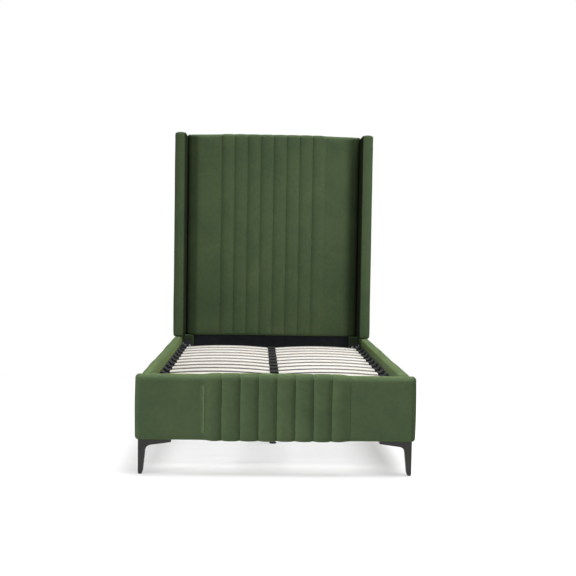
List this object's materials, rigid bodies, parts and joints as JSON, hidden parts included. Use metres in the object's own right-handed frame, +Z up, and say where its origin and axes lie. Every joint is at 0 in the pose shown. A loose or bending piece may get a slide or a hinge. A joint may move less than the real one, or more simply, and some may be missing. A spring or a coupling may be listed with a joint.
{
  "type": "upholstered bed frame",
  "caption": "Upholstered small double bed frame with a tall winged and channelled headboard, low matching footboard, sprung slat base and angled metal front legs.",
  "frame": {"origin": "on the floor, under the middle of the bed's overall box", "axes": "+Z up, +Y along the bed's length towards the headboard, +X across the bed to the right as seen from the foot"},
  "size_m": [1.34, 2.06, 1.842],
  "materials": {
    "velvet": "moss green short-pile velvet over foam",
    "lining": "black non-woven lining cloth",
    "timber": "raw softwood and plywood, hidden inside the covers",
    "slat_wood": "pale laminated beech veneer, satin",
    "black_steel": "black powder coat, fine texture",
    "leg_metal": "dark gunmetal, satin",
    "cap_plastic": "black moulded plastic",
    "zinc_steel": "bright zinc plate",
    "pad_rubber": "matt black rubber"
  },
  "bodies": {
    "root": {"footboard_cover": "velvet", "footboard_board": "timber", "headboard_cover": "velvet", "headboard_frame": "timber", "headboard_back_cloth": "lining", "left_headboard_post": "velvet", "right_headboard_post": "velvet", "headboard_base_panel": "lining", "left_rail_cover": "velvet", "left_rail_board": "timber", "left_wing_cover": "velvet", "left_wing_board": "timber", "left_slat_ledge": "black_steel", "left_slat_caps": "cap_plastic", "left_front_leg": "leg_metal", "left_front_bracket": "black_steel", "left_rear_bracket": "black_steel", "right_rail_cover": "velvet", "right_rail_board": "timber", "right_wing_cover": "velvet", "right_wing_board": "timber", "right_slat_ledge": "black_steel", "right_slat_caps": "cap_plastic", "right_front_leg": "leg_metal", "right_front_bracket": "black_steel", "right_rear_bracket": "black_steel", "left_slat_01": "slat_wood", "left_slat_02": "slat_wood", "left_slat_03": "slat_wood", "left_slat_04": "slat_wood", "left_slat_05": "slat_wood", "left_slat_06": "slat_wood", "left_slat_07": "slat_wood", "left_slat_08": "slat_wood", "left_slat_09": "slat_wood", "left_slat_10": "slat_wood", "left_slat_11": "slat_wood", "left_slat_12": "slat_wood", "right_slat_01": "slat_wood", "right_slat_02": "slat_wood", "right_slat_03": "slat_wood", "right_slat_04": "slat_wood", "right_slat_05": "slat_wood", "right_slat_06": "slat_wood", "right_slat_07": "slat_wood", "right_slat_08": "slat_wood", "right_slat_09": "slat_wood", "right_slat_10": "slat_wood", "right_slat_11": "slat_wood", "right_slat_12": "slat_wood", "centre_slat_caps": "cap_plastic", "centre_rail": "black_steel", "front_rail_holder": "black_steel", "rear_rail_holder": "black_steel", "front_centre_leg": "black_steel", "rear_centre_leg": "black_steel"},
    "front_pad": {"front_foot_pad": "pad_rubber"},
    "front_screw": {"front_levelling_screw": "zinc_steel"},
    "rear_pad": {"rear_foot_pad": "pad_rubber"},
    "rear_screw": {"rear_levelling_screw": "zinc_steel"}
  },
  "joints": [
    {"name": "front_foot_height", "type": "slide", "parent": "root", "child": "front_pad", "axis": [0, 0, -1], "range_m": [0, 0.0175]},
    {"name": "front_screw_turn", "type": "hinge", "parent": "front_pad", "child": "front_screw", "pos_m": [0, -0.268, 0.01], "axis": [0, 0, 1], "range_deg": [0, 5041]},
    {"name": "rear_foot_height", "type": "slide", "parent": "root", "child": "rear_pad", "axis": [0, 0, -1], "range_m": [0, 0.0175]},
    {"name": "rear_screw_turn", "type": "hinge", "parent": "rear_pad", "child": "rear_screw", "pos_m": [0, 0.262, 0.01], "axis": [0, 0, 1], "range_deg": [0, 5041]}
  ],
  "couplings": [
    {"joint": "front_screw_turn", "follows": "front_foot_height", "rad_per_m": 5026.5},
    {"joint": "rear_screw_turn", "follows": "rear_foot_height", "rad_per_m": 5026.5}
  ]
}
